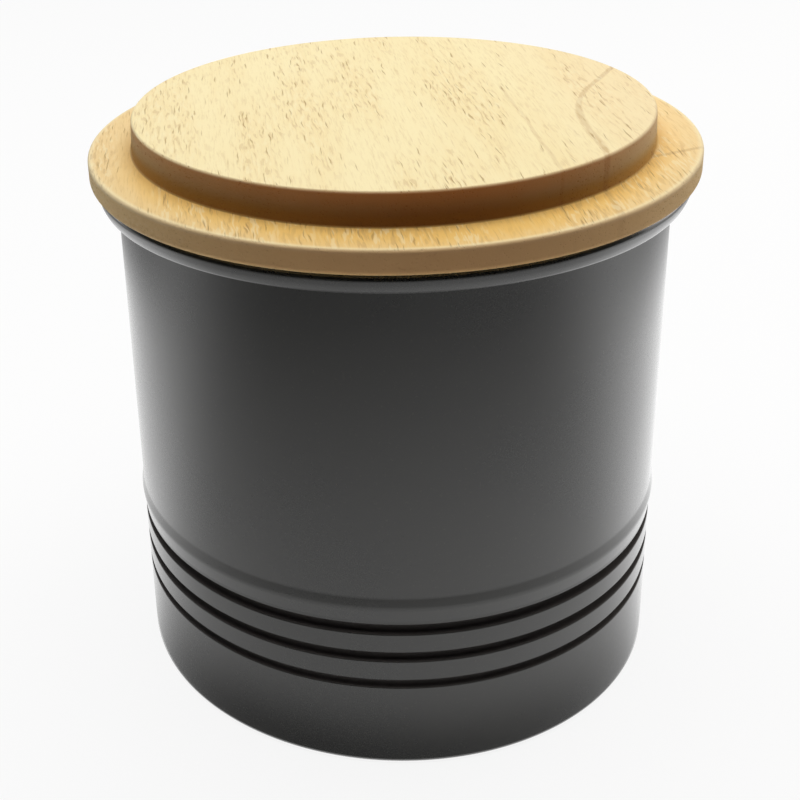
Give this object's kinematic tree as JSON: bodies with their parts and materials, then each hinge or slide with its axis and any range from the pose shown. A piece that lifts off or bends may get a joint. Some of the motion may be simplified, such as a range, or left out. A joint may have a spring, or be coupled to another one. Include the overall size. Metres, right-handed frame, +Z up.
{
  "type": "canister",
  "caption": "Round glazed stoneware storage canister with a ribbed band near its base and a stepped wooden lid that plugs into the mouth with a soft seal.",
  "frame": {"origin": "middle of the foot ring, on the surface the canister stands on", "axes": "+Z up along the canister's axis of revolution; +Y is the way the camera of the picture looks, so the picture shows the -Y side, with +X to its right"},
  "size_m": [0.1444, 0.1444, 0.1421],
  "materials": {
    "glazed_stoneware": "satin charcoal glaze, bare clay on the foot ring",
    "oiled_wood": "fine sanded, oiled, open pores",
    "clear_silicone": "milky translucent, soft matt"
  },
  "bodies": {
    "canister": {"canister_body": "glazed_stoneware"},
    "lid": {"lid": "oiled_wood", "lid_seal": "clear_silicone"}
  },
  "joints": [
    {"name": "lid_lift", "type": "slide", "parent": "canister", "child": "lid", "axis": [0, 0, 1], "range_m": [0, 0.06]}
  ]
}
